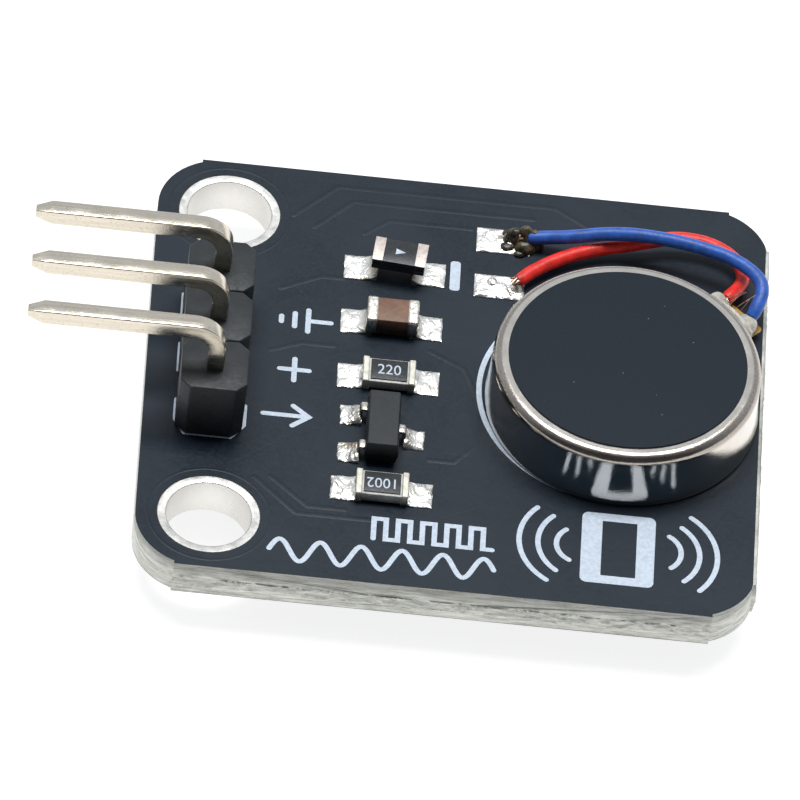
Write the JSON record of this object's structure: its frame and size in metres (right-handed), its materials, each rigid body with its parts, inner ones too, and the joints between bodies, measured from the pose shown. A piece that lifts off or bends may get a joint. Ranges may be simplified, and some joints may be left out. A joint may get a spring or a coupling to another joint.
{
  "type": "coin vibration motor module",
  "caption": "Coin vibration motor stuck to a small square driver board with plated screw holes and a right-angle pin header.",
  "frame": {"origin": "centre of the board's underside", "axes": "+Z out of the board's component face, -X the way the header's pins point, +Y towards the edge where the motor's leads are soldered"},
  "size_m": [0.0278, 0.0208, 0.0077],
  "materials": {
    "solder_mask_board": "satin black solder mask on glass fibre laminate",
    "tinned_copper": "bright tinned plating",
    "black_plastic": "moulded",
    "pin_metal": "drawn and plated",
    "solder": "bright solder",
    "end_metal": "tinned",
    "chip_black": "matte glaze",
    "chip_brown": "fired ceramic",
    "motor_nickel": "nickel plated steel",
    "sticker_film": "fine matte film",
    "adhesive": "double-sided pad",
    "flex_film": "amber polyimide",
    "magnet": "sintered",
    "washer_film": "film",
    "brush_bronze": "spring sheet",
    "bearing_bronze": "sintered",
    "rotor_laminate": "laminate",
    "rotor_resin": "moulded",
    "copper_winding": "enamelled wire",
    "tungsten": "sintered",
    "red_insulation": "soft insulation",
    "blue_insulation": "soft insulation",
    "clear_glue": "cured glue"
  },
  "bodies": {
    "module": {"circuit_board": "solder_mask_board", "screw_barrel_front": "tinned_copper", "screw_barrel_back": "tinned_copper", "header_housing": "black_plastic", "header_pin_front": "pin_metal", "header_pin_middle": "pin_metal", "header_pin_back": "pin_metal", "header_solder_front": "solder", "header_solder_middle": "solder", "header_solder_back": "solder", "diode_body": "chip_black", "diode_end_left": "end_metal", "diode_end_right": "end_metal", "diode_solder_left": "solder", "diode_solder_right": "solder", "capacitor_body": "chip_brown", "capacitor_end_left": "end_metal", "capacitor_end_right": "end_metal", "capacitor_solder_left": "solder", "capacitor_solder_right": "solder", "upper_resistor_body": "chip_black", "upper_resistor_end_left": "end_metal", "upper_resistor_end_right": "end_metal", "upper_resistor_solder_left": "solder", "upper_resistor_solder_right": "solder", "lower_resistor_body": "chip_black", "lower_resistor_end_left": "end_metal", "lower_resistor_end_right": "end_metal", "lower_resistor_solder_left": "solder", "lower_resistor_solder_right": "solder", "transistor_body": "chip_black", "transistor_lead_front": "end_metal", "transistor_lead_back": "end_metal", "transistor_lead_right": "end_metal", "transistor_solder_front": "solder", "transistor_solder_back": "solder", "transistor_solder_right": "solder", "motor_case": "motor_nickel", "motor_base": "motor_nickel", "motor_shaft": "motor_nickel", "motor_sticker": "sticker_film", "adhesive_pad": "adhesive", "motor_flex": "flex_film", "ring_magnet": "magnet", "thrust_washer": "washer_film", "brush_left": "brush_bronze", "brush_right": "brush_bronze", "red_lead": "red_insulation", "blue_lead": "blue_insulation", "lead_solder_red": "solder", "lead_solder_blue": "solder", "tab_solder_red": "solder", "tab_solder_blue": "solder", "tab_glue": "clear_glue"},
    "rotor": {"rotor_board": "rotor_laminate", "rotor_moulding": "rotor_resin", "rotor_coil_left": "copper_winding", "rotor_coil_right": "copper_winding", "counterweight": "tungsten", "rotor_bearing": "bearing_bronze"}
  },
  "joints": [
    {"name": "rotor_spin", "type": "hinge", "parent": "module", "child": "rotor", "pos_m": [0.0062, -0.00014, 0.003], "axis": [0, 0, 1], "continuous": true}
  ]
}
